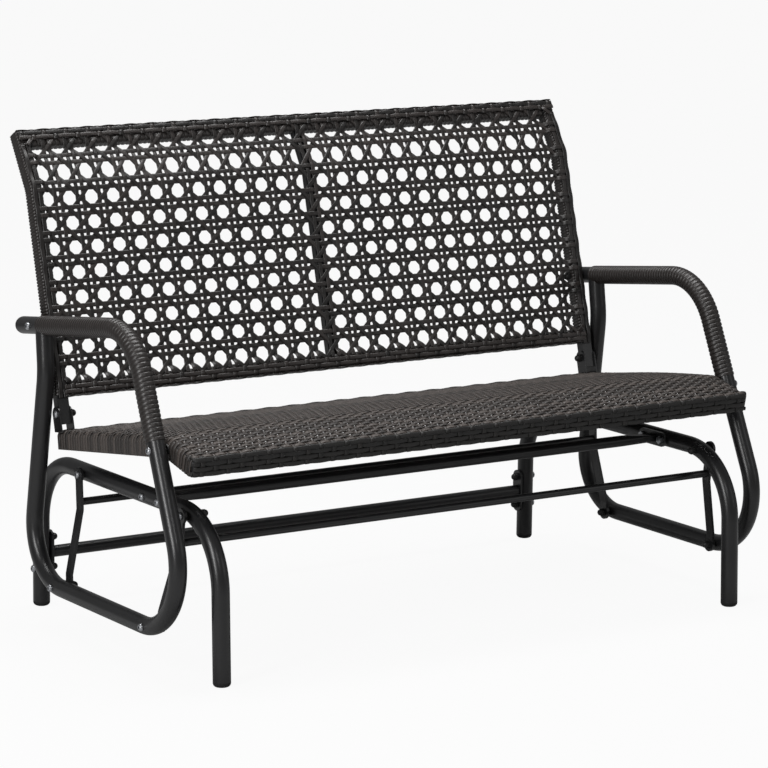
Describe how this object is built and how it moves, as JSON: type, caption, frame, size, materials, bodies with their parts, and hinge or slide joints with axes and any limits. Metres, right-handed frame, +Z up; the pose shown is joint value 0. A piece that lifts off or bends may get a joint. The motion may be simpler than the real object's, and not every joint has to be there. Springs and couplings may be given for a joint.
{
  "type": "glider bench",
  "caption": "Two-seat glider bench: steel tube side loops with wrapped arms hang on swing links from a hooped base, with a woven seat and an open cane back.",
  "frame": {"origin": "on the floor, midway between the four feet, under the middle of the bench", "axes": "X runs along the bench, with the left end of the picture on -X; +Y runs from the front to the rear; +Z is up"},
  "size_m": [1.2154, 0.665, 0.8418],
  "materials": {
    "powder_coated_steel": "satin charcoal powder coat",
    "zinc_plated_steel": "zinc plated",
    "black_nylon": "moulded black nylon",
    "black_rubber": "moulded black rubber",
    "woven_rattan": "dark brown woven synthetic rattan",
    "cane_strand": "near-black woven synthetic cane"
  },
  "bodies": {
    "base": {"left_base_hoop": "powder_coated_steel", "right_base_hoop": "powder_coated_steel", "front_left_foot_cap": "black_rubber", "front_right_foot_cap": "black_rubber", "rear_left_foot_cap": "black_rubber", "rear_right_foot_cap": "black_rubber", "base_cross_tube": "powder_coated_steel", "cross_tube_bolts": "zinc_plated_steel", "cross_tube_nuts": "zinc_plated_steel", "rear_stretcher": "powder_coated_steel", "stretcher_bolts": "zinc_plated_steel", "stretcher_nuts": "black_nylon", "top_pivot_bolts": "zinc_plated_steel", "top_pivot_nuts": "black_nylon", "top_pivot_spacers": "black_nylon"},
    "rear_link": {"rear_left_link": "powder_coated_steel", "rear_right_link": "powder_coated_steel", "rear_link_bar": "powder_coated_steel", "rear_link_bushes": "black_nylon"},
    "front_link": {"front_left_link": "powder_coated_steel", "front_right_link": "powder_coated_steel", "front_link_bar": "powder_coated_steel", "front_link_bushes": "black_nylon"},
    "seat": {"left_side_loop": "powder_coated_steel", "right_side_loop": "powder_coated_steel", "left_arm_wrap": "woven_rattan", "right_arm_wrap": "woven_rattan", "low_pivot_bolts": "zinc_plated_steel", "low_pivot_nuts": "black_nylon", "low_pivot_spacers": "black_nylon", "seat_frame": "powder_coated_steel", "seat_slats": "powder_coated_steel", "seat_weave": "woven_rattan", "seat_bolts": "zinc_plated_steel", "seat_nuts": "black_nylon", "seat_spacers": "black_nylon", "left_back_bracket": "powder_coated_steel", "right_back_bracket": "powder_coated_steel", "back_bolts": "zinc_plated_steel", "back_nuts": "black_nylon", "arm_bolts": "zinc_plated_steel", "arm_nuts": "black_nylon", "left_back_post": "powder_coated_steel", "right_back_post": "powder_coated_steel", "middle_back_post": "powder_coated_steel", "top_back_rail": "powder_coated_steel", "bottom_back_rail": "powder_coated_steel", "left_post_wrap": "cane_strand", "right_post_wrap": "cane_strand", "top_rail_wrap": "cane_strand", "bottom_rail_wrap": "cane_strand", "cane_panel": "cane_strand"}
  },
  "joints": [
    {"name": "rear_link_swing", "type": "hinge", "parent": "base", "child": "rear_link", "pos_m": [0, 0.1305, 0.271], "axis": [1, 0, 0], "range_deg": [-14, 14]},
    {"name": "seat_swing", "type": "hinge", "parent": "rear_link", "child": "seat", "pos_m": [0, 0.121, 0.082], "axis": [1, 0, 0], "range_deg": [-15.58, 15.58]},
    {"name": "front_link_swing", "type": "hinge", "parent": "base", "child": "front_link", "pos_m": [0, -0.224, 0.26679], "axis": [1, 0, 0], "range_deg": [-14.46, 14.46]}
  ],
  "couplings": [
    {"joint": "seat_swing", "follows": "rear_link_swing", "ratio": -1.1126},
    {"joint": "front_link_swing", "follows": "rear_link_swing", "ratio": 1.0323}
  ]
}
